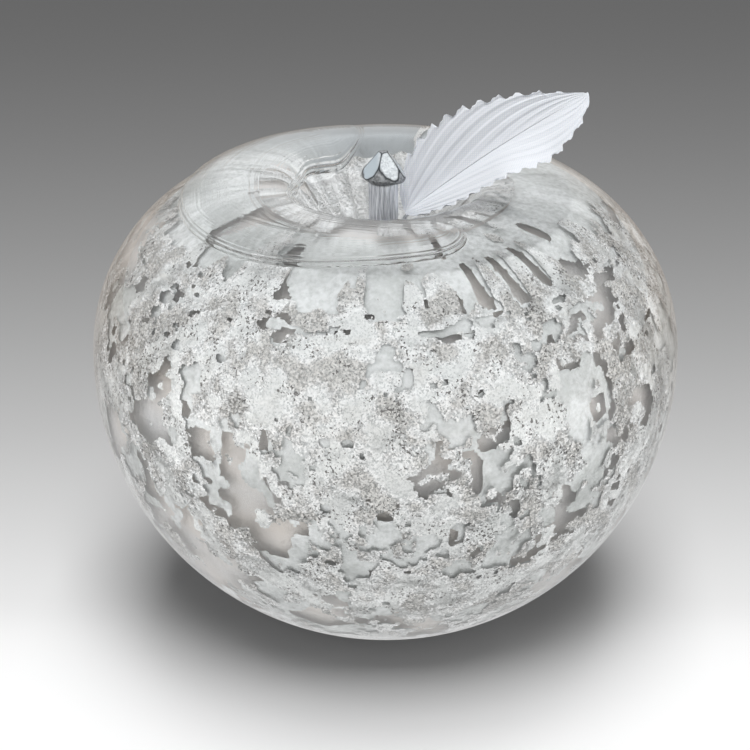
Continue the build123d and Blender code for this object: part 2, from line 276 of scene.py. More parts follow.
skirt = np.concatenate([
    [[NEAR_AXIS, 0], [FOOT_RADIUS - FOOT_EASE, 0]],
    arc((0, BELLY_HEIGHT), BELLY_RADIUS, FOOT_ANGLE + FOOT_EASE, BELLY_END_ANGLE, BELLY_ROWS),
    arc(SHOULDER_CENTRE, SHOULDER_RADIUS, BELLY_END_ANGLE + 2, CROWN_ANGLE, SHOULDER_ROWS),
])
crown = np.concatenate([
    arc(SHOULDER_CENTRE, SHOULDER_RADIUS, CROWN_ANGLE + 1, 90, 200),
    arc(CREST_CENTRE, CREST_ROUND, 91, CREST_END_ANGLE, 40),
    np.array(DIMPLE_WALL),
])
crown = evenly(rounded(evenly(crown, CROWN_POINTS), CROWN_EASE), CROWN_ROWS)
socket = np.array([[SOCKET_RADIUS, SOCKET_TOP], [SOCKET_RADIUS, SOCKET_MIDDLE], [SOCKET_RADIUS, SOCKET_FLOOR],
                   [NEAR_AXIS, SOCKET_FLOOR]])
profile = np.concatenate([skirt, crown, socket])
slope = np.gradient(profile, axis=0)
outward = np.stack([slope[:, 1], -slope[:, 0]], -1) / np.hypot(*slope.T)[:, None]
turn = np.linspace(0, 2 * np.pi, GLASS_COLUMNS, endpoint=False)
radius = profile[:, :1] + 0 * turn
lift = np.zeros(radius.shape)
top = slice(len(skirt), len(skirt) + len(crown))
place = radius[top] * np.cos(turn), radius[top] * np.sin(turn)
swirl_inward = swirl_distance(*place)
lift[top] = glass_relief(*place, swirl_inward, radius[top], turn + 0 * radius[top])
fade = np.clip((np.arange(len(crown)) / len(crown)) / RELIEF_FADE, 0, 1)
lift[top] *= fade[:, None]
radius = radius + lift * outward[:, :1]
height = profile[:, 1:] + lift * outward[:, 1:]
skin = turned(radius, height, turn)
ends = np.array([[0, 0, 0], [0, 0, SOCKET_FLOOR]])

crystal, tree, out = new_material("fire_polished_lead_crystal")
# Shear lines: fine ridges that the swirl's glass drew as it was wound, strong along its edge, faint inside it
edge_distance = node(tree, "ShaderNodeAttribute", attribute_name="swirl_edge").outputs["Fac"]
coords = node(tree, "ShaderNodeTexCoord").outputs["Object"]
wander = noise(tree, coords, 14, 1.0)
wander = node(tree, "ShaderNodeMath", {0: wander, 1: 3.0, 2: edge_distance}, operation="MULTIPLY_ADD")
shear = node(tree, "ShaderNodeTexNoise", {"W": wander.outputs[0], "Scale": 1.6, "Detail": 2.0},
             noise_dimensions="1D")
bead = node(tree, "ShaderNodeFloatCurve", {"Value": ranged(tree, edge_distance, -1.0, 4.0)})
# Share of the way from 1 mm outside the edge to 4 mm inside it, and the ridge's height there
fill_curve(bead, ((0.0, 0.30), (0.16, 0.30), (0.21, 0.75), (0.26, 0.35), (0.31, 0.95), (0.36, 0.45),
                  (0.41, 0.62), (0.47, 0.42), (1.0, 0.42)))
inside = ranged(tree, edge_distance, 0.3, 2.5, 0.0, 0.34)
lines = node(tree, "ShaderNodeMath", {0: shear.outputs["Fac"], 1: inside, 2: bead.outputs[0]},
             operation="MULTIPLY_ADD")
bump = node(tree, "ShaderNodeBump", {"Height": lines.outputs[0], "Distance": 0.35 * MM, "Strength": 1.0})
shader = node(tree, "ShaderNodeBsdfPrincipled", {
    "Base Color": linear("#FCFDFD"), "Roughness": 0.0, "IOR": 1.52, "Transmission Weight": 1.0,
    "Normal": bump.outputs[0]})
tree.links.new(shader.outputs[0], out.inputs["Surface"])
rows = len(profile)
glass = mesh_piece("clear_glass_body", np.concatenate([skin, ends]),
                   [grid_faces(rows, GLASS_COLUMNS), *end_fans(rows, GLASS_COLUMNS)], crystal)
edge_values = np.full(len(skin) + 2, -1.0)
edge_values[top.start * GLASS_COLUMNS : top.stop * GLASS_COLUMNS] = np.clip(swirl_inward, -1, 8).ravel()
point_attribute(glass, "swirl_edge", edge_values)
# Clear glass casts no solid shadow: lamp light passes its rim and lights the foil and the table behind it
glass.visible_shadow = False
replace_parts(glass, "inner_gather", "outer_casing", "swirl_wrap")


# Silver foil: bright leaf picked up on the hot gather, where it tore into ragged patches and crinkled as the
# glass was blown out and cased. Crinkled patches lie on smooth torn leaf, over a dull whole layer deeper down.
# Each band: the profile's angle at its foot and at its top, and the crinkled layer's points round the axis
FOIL_BANDS = {
    "heel": (-82.0, -66.0, 460),
    "lower": (-66.0, -44.0, 720),
    "belly": (-44.0, -22.0, 880),
    "waist": (-22.0, 0.0, 900),
    "shoulder": (0.0, 20.0, 900),
    "crest": (20.0, 43.0, 820),
    "crown": (43.0, 90.0, 640),
}
# The crinkled layer's cell along the profile
FOIL_CELL = 0.30
# The foil lies level from this angle up, and runs this far in towards the axis
FOIL_LEVEL_ANGLE, FOIL_LEVEL_WIDTH = 66.0, 9.0
# Each layer: depth, cell as a multiple of the crinkled one's, sizes of its tears and their weights, crinkle,
# seed, and how much of it is torn away at these angles of the profile (higher is barer)
FOIL_LAYERS = (
    (3.2, 1, (8.0, 3.6, 1.8, 0.9), (1.0, 0.95, 0.75, 0.5), 1.0, 11,
     ((-82, -66, -40, 0, 30, 42, 50, 58, 66, 90),
      (-0.2, -0.5, -0.5, -0.5, -0.55, -0.55, -0.45, 0.3, 1.5, 2.3))),
    (3.9, 1.6, (9.0, 4.0, 2.0), (1.0, 0.8, 0.45), 0.7, 41,
     ((-82, -60, 0, 30, 45, 60, 90), (-0.1, -0.25, -0.25, -0.25, -0.5, -1.8, -1.6))),
    (5.9, 5, (20.0,), (1.0,), 0.8, 71, ((-82, 90), (-9.0, -9.0))),
)
# Brings the tears' summed noise to a spread of about 1
TEAR_SPREAD = 6.2
# The fan of long windows: its middle and half width round the axis and along the profile, the pitch of its
# folds and their strength against the tears' noise, how much of that noise the fan takes away, the turn and
# angle at which one fold lies, and how far the folds slant, in degrees of turn for each degree of angle
FAN_TURN, FAN_HALF_TURN, FAN_ANGLE, FAN_HALF_ANGLE, FAN_PITCH, FAN_STRENGTH = 308, 15, 61, 12, 9.5, 2.7
FAN_CALM, FOLD_AT_TURN, FOLD_AT_ANGLE, FAN_SLANT = 0.75, 309.5, 58, 0.12
# The tears are drawn out from this angle up, in full after this many degrees; the cylinder on which their noise
# is then read: its radius, its level at the axis, and how far that rises with each step away from the axis
DRAWN_FROM, DRAWN_OVER, DRAWN_RADIUS, DRAWN_LEVEL, DRAWN_STEP = 40, 16, 30.0, 60, 0.3
# Sizes of the crinkles and how far they rise and fall
CRINKLES = ((5.0, 0.8), (1.7, 0.24), (0.75, 0.11))


def foil_point(angle, depth):
    """A point of the half profile this deep under the skin: on the belly arc below, on the shoulder arc above,
    and level over the crown, where the radius falls evenly with the angle."""
    below = np.radians(np.minimum(angle, BELLY_END_ANGLE))
    above = np.radians(np.clip(angle, BELLY_END_ANGLE, FOIL_LEVEL_ANGLE))
    low = angle <= BELLY_END_ANGLE
    radius = np.where(low, (BELLY_RADIUS - depth) * np.cos(below),
                      SHOULDER_CENTRE[0] + (SHOULDER_RADIUS - depth) * np.cos(above))
    height = np.where(low, BELLY_HEIGHT + (BELLY_RADIUS - depth) * np.sin(below),
                      SHOULDER_CENTRE[1] + (SHOULDER_RADIUS - depth) * np.sin(above))
    past = np.clip(angle - FOIL_LEVEL_ANGLE, 0, None)
    return radius - past * FOIL_LEVEL_WIDTH / (90 - FOIL_LEVEL_ANGLE), height


def drawn_out(radius, height, turn, pull):
    """Where to read the tears' noise: the point itself, or, as pull goes to 1, a cylinder on which a step
    along the profile counts a third, so that the tears are drawn out towards the dimple."""
    reach = radius * (1 - pull) + DRAWN_RADIUS * pull
    level = height * (1 - pull) + (DRAWN_LEVEL + DRAWN_STEP * radius) * pull
    return np.stack([reach * np.cos(turn), reach * np.sin(turn), level], -1)


def torn_sheet(line, angles, columns, rows, tears, cover, crinkle, depth):
    """Points and quads of torn foil on a turned line: a grid round the axis, crinkled by noise along its depth
    and cut where the tears' noise falls under a bar, with the cut's corners on the line between."""
    start, end = angles
    angle = np.linspace(start, end, rows)[:, None] + np.zeros(columns)
    turn = np.linspace(0, 2 * np.pi, columns, endpoint=False) + np.zeros((rows, 1))
    radius, height = line(angle, depth)
    sizes, weights, seed = tears
    pull = np.clip((angle - DRAWN_FROM) / DRAWN_OVER, 0, 1)
    place = drawn_out(radius, height, turn, pull)
    value = sum(w * (lattice(place, s, seed + i) - 0.5) for i, (s, w) in enumerate(zip(sizes, weights)))
    value = value / math.sqrt(sum(w * w for w in weights)) * TEAR_SPREAD
    # The fan of long windows between folds of leaf, over the right of the front
    fan = np.exp(-(((np.degrees(turn) - FAN_TURN) / FAN_HALF_TURN) ** 4)
                 - ((angle - FAN_ANGLE) / FAN_HALF_ANGLE) ** 4)
    slant = np.degrees(turn) - FOLD_AT_TURN + FAN_SLANT * (angle - FOLD_AT_ANGLE)
    folds = FAN_STRENGTH * np.cos(np.radians(360 / FAN_PITCH * slant))
    value = value * (1 - FAN_CALM * fan) + fan * folds
    field = value - np.interp(angle, cover[0], cover[1])
    down, across = np.gradient(field)
    across[:, 0] = (field[:, 1] - field[:, -1]) / 2
    across[:, -1] = (field[:, 0] - field[:, -2]) / 2
    steep = np.maximum(np.hypot(down, across), 1e-6)
    near = np.abs(field / steep) < 0.5
    snap = np.where(near, np.clip(-field / steep, -0.5, 0.5), 0)
    field = np.where(near, 0.0, field)
    angle = angle + snap * down / steep * (end - start) / (rows - 1)
    turn = turn + snap * across / steep * 2 * np.pi / columns
    wave = sum(h * (lattice(place, s, seed + 20 + i) - 0.5) for i, (s, h) in enumerate(CRINKLES))
    radius, height = line(angle, depth + crinkle * wave)
    points = turned(radius, height, turn)
    quads = grid_faces(rows, columns)
    kept = quads[field.reshape(-1)[quads].min(1) >= 0]
    used, index = np.unique(kept, return_inverse=True)
    return points[used], index.reshape(kept.shape)


leaf_metal, tree, out = new_material("crinkled_silver_leaf")
coords = node(tree, "ShaderNodeTexCoord").outputs["Object"]
# 0 on crinkled leaf, 1 on smooth leaf, 2 on the dull layer
layer = node(tree, "ShaderNodeAttribute", attribute_name="layer").outputs["Fac"]
# Each crumple is a tiny flat facet, 0.25 mm across, that tips its own way and so glints on its own
crumple = node(tree, "ShaderNodeTexVoronoi", {"Vector": coords, "Scale": 1 / (0.25 * MM)})
fine = noise(tree, coords, 0.9, 2.0)
patch = noise(tree, coords, 5.0, 1.5)
strength = ranged(tree, patch, 0.40, 0.54, 0.2, 0.7)
calm = ranged(tree, layer, 0, 1.0, 1.0, 0.2)
strength = node(tree, "ShaderNodeMath", {0: strength, 1: calm}, operation="MULTIPLY")
tip = node(tree, "ShaderNodeVectorMath", {0: crumple.outputs["Color"], 1: (0.5, 0.5, 0.5)},
           operation="SUBTRACT")
tip = node(tree, "ShaderNodeVectorMath", {0: tip.outputs[0], "Scale": strength.outputs[0]}, operation="SCALE")
normal = node(tree, "ShaderNodeNewGeometry").outputs["Normal"]
tipped = node(tree, "ShaderNodeVectorMath", {0: normal, 1: tip.outputs[0]}, operation="ADD")
tipped = node(tree, "ShaderNodeVectorMath", {0: tipped.outputs[0]}, operation="NORMALIZE")
# Dark specks in clusters, only in the crinkled leaf: pin holes, and painted shade between the crumples
speck_noise = noise(tree, coords, 0.42, 1.0)
cluster = noise(tree, coords, 4.0, 1.0)
speck_bar = ranged(tree, cluster, 0.45, 0.62, 0.24, 0.40)
pore_and_shade_speck = node(tree, "ShaderNodeMath", {0: speck_noise, 1: speck_bar}, operation="LESS_THAN")
pore_and_shade_speck = node(tree, "ShaderNodeMath", {0: pore_and_shade_speck.outputs[0], 1: layer}, operation="SUBTRACT", use_clamp=True)
# Painted glints: each crumple's colour runs from grey to pure white, the white ones standing for facets that
# catch the light
cell = node(tree, "ShaderNodeSeparateColor", {0: crumple.outputs["Color"]}).outputs["Green"]
painted_glint = ranged(tree, cell, 0, 0.6)
painted_glint = mixed(tree, painted_glint, linear("#B0B3B4"), linear("#FFFFFF"))
# The painted glints show fully in some patches, and partly over an even grey elsewhere
glint_share = ranged(tree, patch, 0.40, 0.54, 0.35, 1.0)
silver = mixed(tree, glint_share, linear("#CCCECC"), painted_glint)
# Soft shade where the leaf lies a little deeper or thinner
shade = noise(tree, coords, 5.0, 2.0)
shade = ranged(tree, shade, 0.47, 0.60)
silver = mixed(tree, shade, silver, linear("#DAD8D5"), blend_type="MULTIPLY")
# Pin holes and painted shade between the crumples, in a dark grey
silver = mixed(tree, pore_and_shade_speck.outputs[0], silver, linear("#706E6C"))
tarnish = noise(tree, coords, 11.0, 2.0)
mottle = node(tree, "ShaderNodeMath", {0: tarnish, 1: fine}, operation="MULTIPLY")
mottle = ranged(tree, mottle.outputs[0], 0.12, 0.38)
veil = mixed(tree, mottle, linear("#C8CBC9"), linear("#F4F6F6"))
# Painted shade: smooth leaf over the back of the crown is made a little greyer
spot = node(tree, "ShaderNodeSeparateXYZ", {0: coords})
high = ranged(tree, spot.outputs["Z"], 62 * MM, 70 * MM)
back = ranged(tree, spot.outputs["Y"], 12 * MM, 24 * MM)
high = node(tree, "ShaderNodeMath", {0: high, 1: back}, operation="MULTIPLY")
veil = mixed(tree, high.outputs[0], veil, linear("#B4B9BC"))
dull = mixed(tree, tarnish, linear("#E6E9EC"), linear("#FAF1E8"))
smooth = mixed(tree, layer, silver, veil, clamp_factor=True)
deep = node(tree, "ShaderNodeMath", {0: layer, 1: 1.0}, operation="SUBTRACT", use_clamp=True)
tone = mixed(tree, deep.outputs[0], smooth, dull)
# Painted light: the leaf round the dimple, near the axis and high up, is made whiter
level = node(tree, "ShaderNodeVectorMath", {0: coords, 1: (1, 1, 0)}, operation="MULTIPLY")
level = node(tree, "ShaderNodeVectorMath", {0: level.outputs[0]}, operation="LENGTH")
dimple_painted_light = ranged(tree, level.outputs["Value"], 22 * MM, 17 * MM, 0, 0.6)
above = ranged(tree, spot.outputs["Z"], 56 * MM, 60 * MM)
dimple_painted_light = node(tree, "ShaderNodeMath", {0: dimple_painted_light, 1: above}, operation="MULTIPLY")
tone = mixed(tree, dimple_painted_light.outputs[0], tone, linear("#FFFFFF"))
rough = ranged(tree, fine, 0, 1, 0.3, 0.5)
even = node(tree, "ShaderNodeMath", {0: layer, 1: 0.12, 2: rough}, operation="MULTIPLY_ADD")
shader = node(tree, "ShaderNodeBsdfPrincipled", {
    "Base Color": tone, "Metallic": 1.0, "Roughness": even.outputs[0], "Normal": tipped.outputs[0]})
tree.links.new(shader.outputs[0], out.inputs["Surface"])


def leaf_piece(name, sheets):
    """One piece of several sheets of foil, each marked with the number of its layer."""
    counts = np.cumsum([0] + [len(points) for points, quads, number in sheets])
    faces = [quads + first for (points, quads, number), first in zip(sheets, counts)]
    piece = mesh_piece(name, np.concatenate([points for points, quads, number in sheets]), faces, leaf_metal)
    layers = [np.full(len(points), number) for points, quads, number in sheets]
    point_attribute(piece, "layer", np.concatenate(layers))
    return piece


for band, (start, end, columns) in FOIL_BANDS.items():
    sheets = []
    for number, (depth, coarse, sizes, weights, crinkle, seed, cover) in enumerate(FOIL_LAYERS):
        length = np.radians(end - start) * ((BELLY_RADIUS if start < 0 else SHOULDER_RADIUS) - depth)
        rows = max(4, int(length / (FOIL_CELL * coarse)))
        sheet = torn_sheet(foil_point, (start, end), int(columns / coarse), rows, (sizes, weights, seed),
                           cover, crinkle, depth)
        sheets.append((*sheet, number))
    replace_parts(leaf_piece(f"silver_leaf_{band}", sheets), f"silver_foil_{band}")

# Leaf in the dimple: drawn in as the dimple was pressed, it runs down the wall in small folds, with the dull
# layer behind it. It is the same leaf as the bands'. The funnel: distances from the axis, and heights.
FUNNEL = ((21.0, 73.6), (17.0, 72.6), (14.2, 70.0), (11.4, 67.2), (8.4, 65.2), (5.4, 63.8))
# The angles that stand for its rim and its foot
FUNNEL_ANGLES = 60, 90
# Each sheet: points round the axis, rows, its tears' sizes, weights and seed, how much of it is torn away at
# the rim and at the foot, crinkle, depth under the funnel, and the number of its layer
FUNNEL_SHEETS = (
    (420, 90, ((5.0, 2.2, 1.1), (1.0, 0.7, 0.4), 91), (-1.3, -1.0), 1.3, 0.3, 0),
    (120, 16, ((20.0,), (1.0,), 71), (-9.0, -9.0), 0.4, 1.8, 2),
)


def funnel_point(angle, depth):
    """A point of the funnel under the dimple, this much lower, at an angle between its rim's and its foot's:
    straight between the funnel's own points, which lie evenly over the angle."""
    rim, foot = FUNNEL_ANGLES
    share = np.clip((angle - rim) / (foot - rim), 0, 1) * (len(FUNNEL) - 1)
    radius, height = [np.interp(share, np.arange(len(FUNNEL)), column) for column in np.transpose(FUNNEL)]
    return radius, height - depth


leaf_piece("silver_leaf_dimple", [
    (*torn_sheet(funnel_point, FUNNEL_ANGLES, columns, rows, tears, (FUNNEL_ANGLES, bare), crinkle, depth),
     number)
    for columns, rows, tears, bare, crinkle, depth, number in FUNNEL_SHEETS
])


# Clear adhesive: two-part epoxy, poured into the socket round the stem and the wire's foot and left to level.
# It cured clear, with a small meniscus up the shank. The ring's profile runs up its outside and down inside.
GLUE_PROFILE = ((2.26, 60.7), (2.66, 60.7), (2.66, 65.5), (5.7, 66.6), (5.3, 66.68), (4.2, 66.62),
                (3.2, 66.72), (2.7, 67.0), (2.42, 67.4), (2.26, 67.8))
GLUE_COLUMNS = 96
turn = np.linspace(0, 2 * np.pi, GLUE_COLUMNS, endpoint=False)
ring = turned(*np.split(np.array(GLUE_PROFILE), 2, 1), turn)
around, last = np.arange(GLUE_COLUMNS), (len(GLUE_PROFILE) - 1) * GLUE_COLUMNS
closing = np.stack([last + around, last + np.roll(around, -1), np.roll(around, -1), around], -1)
resin, tree, out = new_material("cured_clear_epoxy")
shader = node(tree, "ShaderNodeBsdfPrincipled", {
    "Base Color": linear("#F6F7F4"), "Roughness": 0.04, "IOR": 1.5, "Transmission Weight": 1.0})
tree.links.new(shader.outputs[0], out.inputs["Surface"])
glue = mesh_piece("adhesive_meniscus", ring, [grid_faces(len(GLUE_PROFILE), GLUE_COLUMNS), closing], resin)
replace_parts(glue, "socket_adhesive")


# Cast stem: a pewter-like casting in one piece, a grooved shank under a cap cut like a twig's end. The cap is
# a rounded cone with five smooth oval cuts, and its rim is left granular from the mould. The colour is darkened
# along the rims of the cuts, where two cuts meet and just under the cap.
STEM_SHIFT, STEM_FOOT, STEM_TOP, CAP_FOOT = -0.35, 60.8, 82.48, 77.3
STEM_PROFILE = ((2.2, STEM_FOOT), (2.35, 66.0), (2.35, 77.35), (3.0, 77.5), (3.5, 77.75), (3.72, 78.1),
                (3.7, 78.4), (3.5, 79.0), (3.1, 79.9), (2.5, 80.9), (1.75, 81.8), (1.2, 82.25), (0.8, 82.42),
                (0.4, STEM_TOP), (NEAR_AXIS, STEM_TOP))
# The grid: its columns from a seam in the crease between two cuts, its rows, how much closer these lie from
# this height up, and the points of the finer profile that they are picked from and its corners eased over
STEM_COLUMNS, STEM_SEAM, STEM_ROWS, CAP_FINER, FINER_FROM = 300, -105, 190, 3.5, 77
STEM_POINTS, STEM_EASE = 700, 3
# The cuts: their directions, their distance from the axis at the turn-in height, and how fast they fall away
CUT_ANGLES = (-69.0, 3.0, 75.0, 147.0, 219.0)
CUT_TOP, CUT_FALL, CUT_TURN_IN = 0.78, 0.70, 82.4
# A cut's distance below the cap, where none bites
NO_CUT = 99.0
# The cap and its cuts are narrower front to back than across by these shares
CAP_FLATTEN, CUT_FLATTEN = 0.20, 0.15
# Grooves of the shank: depth, how many, and where they start
GROOVES = ((0.06, 19, 0.7), (0.05, 31, 2), (0.04, 47, 0))
# The grooves end here and the cap's cuts begin at its foot, each within EDGE_FADE of height
GROOVES_TOP, EDGE_FADE = 77.2, 0.3
# The cap is ragged by this share of its radius: noise in lumps of this size, from this seed, on this radius
RAGGED_SHARE, RAGGED_SIZE, RAGGED_SEED, RAGGED_RADIUS = 0.10, 0.9, 5, 3
# The rim dips to the right by this share of its radius; up to DIP_TOP the dip fades out over this height
RIM_DIP, DIP_TOP, DIP_FADE = 0.09, 81, 3
# Darkening of the colour: its strength and the width over which it fades, at the rim of a cut, in a crease and
# under the cap, where it is strongest at this height
RIM_DARKENING, CREASE_DARKENING, UNDER_DARKENING, UNDER_CAP = (0.9, 0.10), (0.9, 0.22), (0.8, 0.22), 77.35


def stem_surface():
    """Points of the stem on a grid round its axis, and their darkening, cut face and bare rim from 0 to 1. The
    radius is the profile's, made ragged by noise on the cap, or the nearest cut's where that is less: a cut's
    is its distance over the cosine of the turn from its direction. The shank is fluted by three cosines."""
    profile = evenly(rounded(evenly(np.array(STEM_PROFILE), STEM_POINTS), STEM_EASE), STEM_POINTS)
    closer = 1 + CAP_FINER * (profile[:, 1] > FINER_FROM)
    steps = np.linspace(0, closer.sum(), STEM_ROWS)
    profile = np.stack([np.interp(steps, np.cumsum(closer), profile[:, i]) for i in (0, 1)], -1)
    radius, height = profile[:, :1], profile[:, 1:]
    turn = np.radians(np.linspace(STEM_SEAM, STEM_SEAM + 360, STEM_COLUMNS, endpoint=False))
    on_cap = np.clip((height - CAP_FOOT) / EDGE_FADE, 0, 1)
    ring = np.stack([RAGGED_RADIUS * np.cos(turn), RAGGED_RADIUS * np.sin(turn), 0 * turn], -1)
    ragged = lattice(ring + profile[:, None, 1:] * (0, 0, 1), RAGGED_SIZE, RAGGED_SEED)
    cone = radius * (1 + RAGGED_SHARE * (ragged - 0.5) * on_cap)
    cone = cone * (1 - CAP_FLATTEN * np.sin(turn) ** 2 * on_cap)
    reach = CUT_TOP + CUT_FALL * (CUT_TURN_IN - height)
    cuts = np.stack([reach * (1 - CUT_FLATTEN * np.sin(angle) ** 2) / np.maximum(np.cos(turn - angle), 0.05)
                     for angle in np.radians(CUT_ANGLES)])
    cut_plane, next_cut = np.where(on_cap > 0.5, np.sort(cuts, 0)[:2], NO_CUT)
    flutes = sum(depth * np.cos(count * turn + start) for depth, count, start in GROOVES)
    radius = np.minimum(cone, cut_plane) + np.clip((GROOVES_TOP - height) / EDGE_FADE, 0, 1) * flutes
    dip = RIM_DIP * radius * np.cos(turn) * np.clip((DIP_TOP - height) / DIP_FADE, 0, 1) * on_cap
    off_cut = cone - cut_plane
    # How far the colour is darkened: along a cut's rim, where two cuts meet, and under the cap
    rim = RIM_DARKENING[0] * np.exp(-((off_cut + 0.05) / RIM_DARKENING[1]) ** 2) * (on_cap > 0.5)
    crease = CREASE_DARKENING[0] * np.exp(-((next_cut - cut_plane) / CREASE_DARKENING[1]) ** 2) * (off_cut > -0.1)
    under = UNDER_DARKENING[0] * np.exp(-((height - UNDER_CAP) / UNDER_DARKENING[1]) ** 2)
    face = np.clip(off_cut / 0.05, 0, 1) + 0 * turn
    points = turned(radius, height - dip, turn) + (STEM_SHIFT, 0, 0)
    return points, np.clip(rim + crease + under, 0, 1), face, on_cap * (1 - face)


stem_points, stem_darkening, stem_face, stem_bare = stem_surface()
stem_ends = np.array([[STEM_SHIFT, 0, STEM_FOOT], [STEM_SHIFT, 0, STEM_TOP]])

pewter, tree, out = new_material("cast_pewter")
coords = node(tree, "ShaderNodeTexCoord").outputs["Object"]
darkening = node(tree, "ShaderNodeAttribute", attribute_name="darkening")
face = node(tree, "ShaderNodeAttribute", attribute_name="face")
grain = node(tree, "ShaderNodeTexVoronoi", {"Vector": coords, "Scale": 1 / (0.3 * MM)})
draw = node(tree, "ShaderNodeMapping", {"Vector": coords, "Scale": (1, 1, 0.06)})
streak = noise(tree, draw.outputs[0], 0.22, 3.0)
streak = ranged(tree, streak, 0.38, 0.60)
light = mixed(tree, streak, linear("#B8BAC0"), linear("#EEF0F4"))
# The cuts are pale and smooth; the left one is given painted shade, a bluer grey
facet = mixed(tree, grain.outputs["Color"], linear("#B4B9BD"), linear("#E6EAEC"))
side = ranged(tree, node(tree, "ShaderNodeSeparateXYZ", {0: coords}).outputs["X"], -1.5 * MM, -0.6 * MM)
facet = mixed(tree, side, linear("#B2BBC1"), facet)
bare = node(tree, "ShaderNodeAttribute", attribute_name="bare")
speck = mixed(tree, grain.outputs["Color"], linear("#6C6E70"), linear("#B4B6B8"))
metal = mixed(tree, bare.outputs["Fac"], light, speck)
metal = mixed(tree, face.outputs["Fac"], metal, facet)
# The colour is darkened to a dark grey along the cuts' rims, where cuts meet and under the cap
darkened_metal = mixed(tree, darkening.outputs["Fac"], metal, linear("#3C4043"))
bump = node(tree, "ShaderNodeBump", {
    "Height": grain.outputs["Distance"], "Distance": 0.05 * MM, "Strength": 0.6})
shader = node(tree, "ShaderNodeBsdfPrincipled", {
    "Base Color": darkened_metal, "Metallic": 1.0, "Roughness": 0.5, "Normal": bump.outputs[0]})
tree.links.new(shader.outputs[0], out.inputs["Surface"])
stem = mesh_piece("cast_stem_body", np.concatenate([stem_points, stem_ends]),
                  [grid_faces(STEM_ROWS, STEM_COLUMNS), *end_fans(STEM_ROWS, STEM_COLUMNS)], pewter)
for name, values in (("darkening", stem_darkening), ("face", stem_face), ("bare", stem_bare)):
    point_attribute(stem, name, [*values.ravel(), 0, 0])
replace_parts(stem, "cast_stem")


# Fabric leaf: stiffened satin stamped out with a saw-toothed edge and pleated in a heated die, so it keeps
# its folds. Its fine weft rows run across the pleats. A wire glued under the midrib holds it up.
LEAF_LENGTH, LEAF_RISE, LEAF_ROOT, LEAF_ARCH = 36.4, 35.3, (3.4, 0.8, 71.19), 0.6
# Half width of the back half and of the front, and the powers by which it rises from the foot and falls again
LEAF_BACK, LEAF_FRONT = (10.0, (0.53, 0.95)), (10.2, (0.68, 0.61))
# How far each half leans over, in degrees; the front half's lean changes between these shares of the length
LEAF_BACK_ANGLE, LEAF_FRONT_ANGLES, LEAF_TURN = 32.0, (82.2, 63.6), (0.49, 0.77)
# The least half width at the foot, and how much less it is at the tip
LEAST_WIDTH, LEAST_FALL = 0.9, 0.6
# Large teeth along the back and the front edge. Each is a hollow slope over the first share of its length and
# a step over the rest, this deep; the small teeth on it, how many and how deep; and over what share of the
# leaf's length and what half width all of them grow to their full depth
TEETH, TOOTH_SLOPE, TOOTH_STEP, TOOTH_HOLLOW, TOOTH_DEPTH = (12, 15), 0.8, 0.2, 1.4, 1.2
SMALL_TEETH, SMALL_DEPTH, TOOTH_GROWTH, TOOTH_WIDTH = 2.5, 0.5, 0.2, 3
# The share of the half width at which the cut edge begins to follow the teeth, and the rest of it
HEM_FROM, HEM_WIDTH = 0.8, 0.2
LEAF_ROWS, LEAF_HALF_COLUMNS = 300, 60
# Pleats: how high they stand, how many there are along the leaf, and where they start; how far they slant and
# by what power they bend; and the share of the half width and the half width over which they rise
PLEATS = ((0.11, 4.6, 0), (0.04, 11.0, 1))
PLEAT_SLANT, PLEAT_BEND, PLEAT_GROWTH, PLEAT_WIDTH = 1.05, 0.9, 0.3, 5
MIDRIB_RISE, MIDRIB_HALF_WIDTH = 0.22, 0.8
# The weave: degrees between the weft rows' normal and the midrib, and the pitches of weft and warp
WEFT_SLANT, WEFT_PITCH, WARP_PITCH = 35, 0.36, 0.3


def edge_width(share, half_width, powers, least):
    """Half width of one side at this share of the leaf's length: a rising power times a falling one, peak 1."""
    rise, fall = powers
    peak = rise / (rise + fall)
    fullness = (np.clip(share, 0, 1) / peak) ** rise * (np.clip(1 - share, 0, 1) / (1 - peak)) ** fall
    return np.maximum(least, half_width * fullness)


